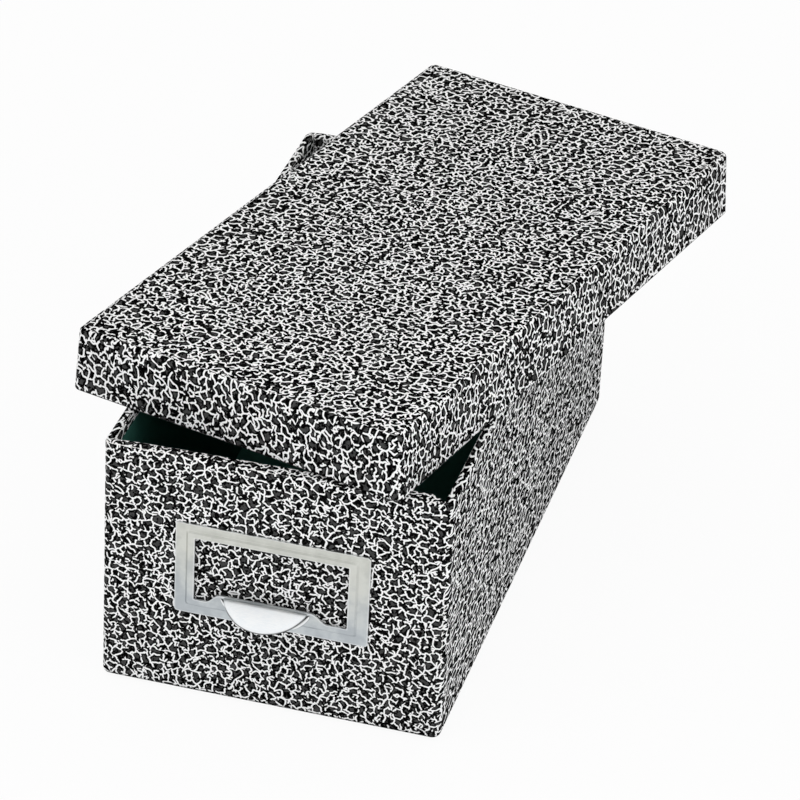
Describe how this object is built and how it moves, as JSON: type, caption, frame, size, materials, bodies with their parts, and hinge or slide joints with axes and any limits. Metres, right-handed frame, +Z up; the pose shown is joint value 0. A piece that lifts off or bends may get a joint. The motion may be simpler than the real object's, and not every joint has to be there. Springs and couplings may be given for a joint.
{
  "type": "index card box with lift-off lid",
  "caption": "Deep card box in marbled paper with a lift-off lid set askew on its rim and a steel label holder with a half-moon finger pull on the front.",
  "frame": {"origin": "on the floor, under the middle of the tray", "axes": "+Z up out of the tray, -Y out of the front wall that carries the label holder, +X to the right seen from the front"},
  "size_m": [0.2133, 0.3187, 0.1387],
  "materials": {
    "fiberboard": "raw grey-brown board",
    "stay_paper": "gummed kraft",
    "marbled_paper": "satin, black cells and white veins",
    "lining_paper": "dark green, matt",
    "base_paper": "black, matt",
    "plated_steel": "satin nickel plate"
  },
  "bodies": {
    "tray": {"tray_board": "fiberboard", "tray_corner_stay_1": "stay_paper", "tray_corner_stay_2": "stay_paper", "tray_corner_stay_3": "stay_paper", "tray_corner_stay_4": "stay_paper", "tray_wrap": "marbled_paper", "tray_liner": "lining_paper", "tray_base_sheet": "base_paper", "label_holder": "plated_steel"},
    "lid": {"lid_board": "fiberboard", "lid_corner_stay_1": "stay_paper", "lid_corner_stay_2": "stay_paper", "lid_corner_stay_3": "stay_paper", "lid_corner_stay_4": "stay_paper", "lid_wrap": "marbled_paper", "lid_liner": "lining_paper"}
  },
  "joints": [
    {"name": "lid_lift", "type": "slide", "parent": "tray", "child": "lid", "axis": [0, 0, 1], "range_m": [0, 0.12]}
  ]
}
